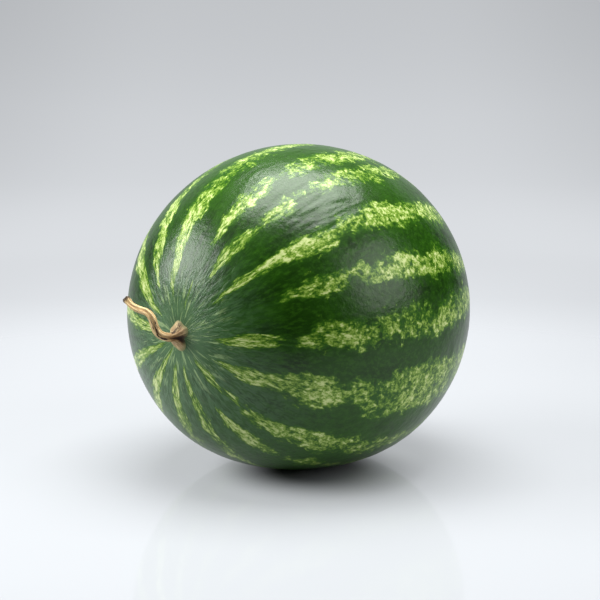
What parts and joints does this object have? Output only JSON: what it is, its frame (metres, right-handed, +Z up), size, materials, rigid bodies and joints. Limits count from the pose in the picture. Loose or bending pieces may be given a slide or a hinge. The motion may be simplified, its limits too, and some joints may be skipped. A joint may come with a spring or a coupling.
{
  "type": "watermelon",
  "caption": "Whole round watermelon with a striped green rind and a short dried, curling stem, lying on its side on a small flattened spot.",
  "frame": {"origin": "middle of the flat spot on the underside, where the fruit rests", "axes": "+Z up, away from the surface it lies on; the fruit's long axis runs along Y, with the stem end at -Y and the blossom end at +Y; +X is to the right when looking along +Y"},
  "size_m": [0.25, 0.2937, 0.2412],
  "materials": {
    "rind": "waxy semi-gloss rind, dark green with jagged light yellow-green stripes along its length",
    "stem": "dry, fibrous tan stalk with dark brown furrows and a dark broken tip"
  },
  "bodies": {
    "root": {"fruit": "rind", "stem": "stem"}
  },
  "joints": []
}
